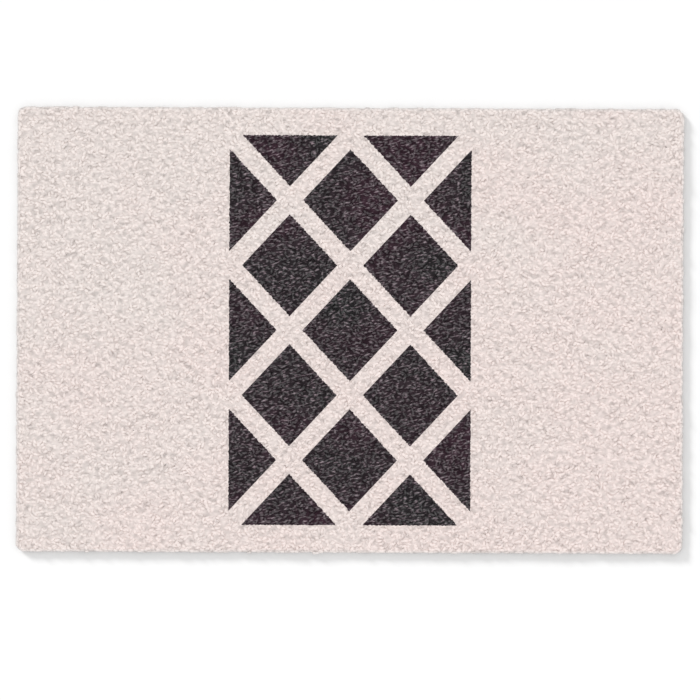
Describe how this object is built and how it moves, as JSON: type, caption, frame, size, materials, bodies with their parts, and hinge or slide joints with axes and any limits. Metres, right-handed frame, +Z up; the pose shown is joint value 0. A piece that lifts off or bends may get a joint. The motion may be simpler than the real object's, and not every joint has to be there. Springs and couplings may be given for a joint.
{
  "type": "doormat",
  "caption": "Flat rectangular doormat of curled loop pile with rounded corners and a soft crowned rim, lying on the floor at an entrance to wipe shoes on.",
  "frame": {"origin": "middle of the flat sole, on the floor", "axes": "+X along the mat's longer side, +Y along its shorter side away from the viewer, +Z up through the pile"},
  "size_m": [0.9156, 0.6116, 0.011],
  "materials": {
    "loop_pile": "cream curled loop pile with a charcoal printed panel of plain lozenges"
  },
  "bodies": {
    "root": {"mat": "loop_pile"}
  },
  "joints": []
}
